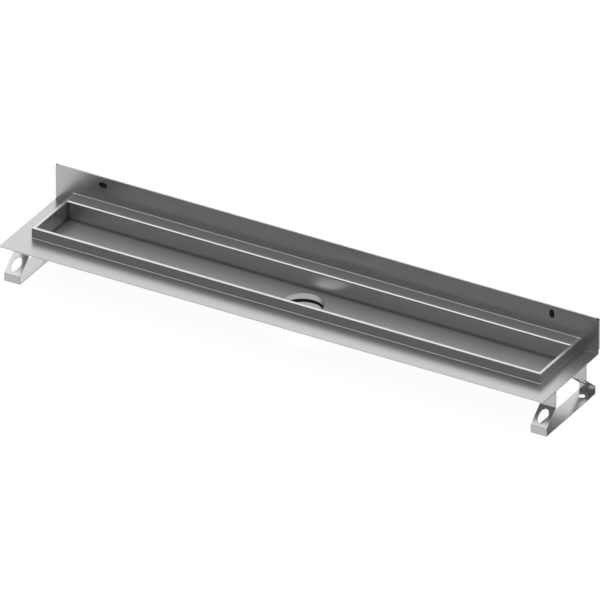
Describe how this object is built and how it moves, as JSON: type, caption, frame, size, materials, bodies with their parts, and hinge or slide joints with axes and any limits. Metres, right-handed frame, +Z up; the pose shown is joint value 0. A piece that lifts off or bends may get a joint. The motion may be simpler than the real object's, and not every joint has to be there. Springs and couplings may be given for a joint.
{
  "type": "linear shower drain",
  "caption": "Long stainless shower channel with a wide mounting flange, a wall upstand, folded feet and a round outlet socket under its middle.",
  "frame": {"origin": "under the middle of the overall footprint, at the level that the feet stand on", "axes": "+X along the drain, to the right when one faces the wall; +Y towards the wall; +Z up"},
  "size_m": [0.9, 0.1644, 0.1203],
  "materials": {
    "stainless": "satin",
    "seal_rubber": "matte",
    "strip_foam": "matte"
  },
  "bodies": {
    "root": {"wall_flange": "stainless", "wall_strip": "strip_foam", "channel_tray": "stainless", "outlet_socket": "stainless", "outlet_seal": "seal_rubber", "foot_bracket_left": "stainless", "foot_bracket_right": "stainless"}
  },
  "joints": []
}
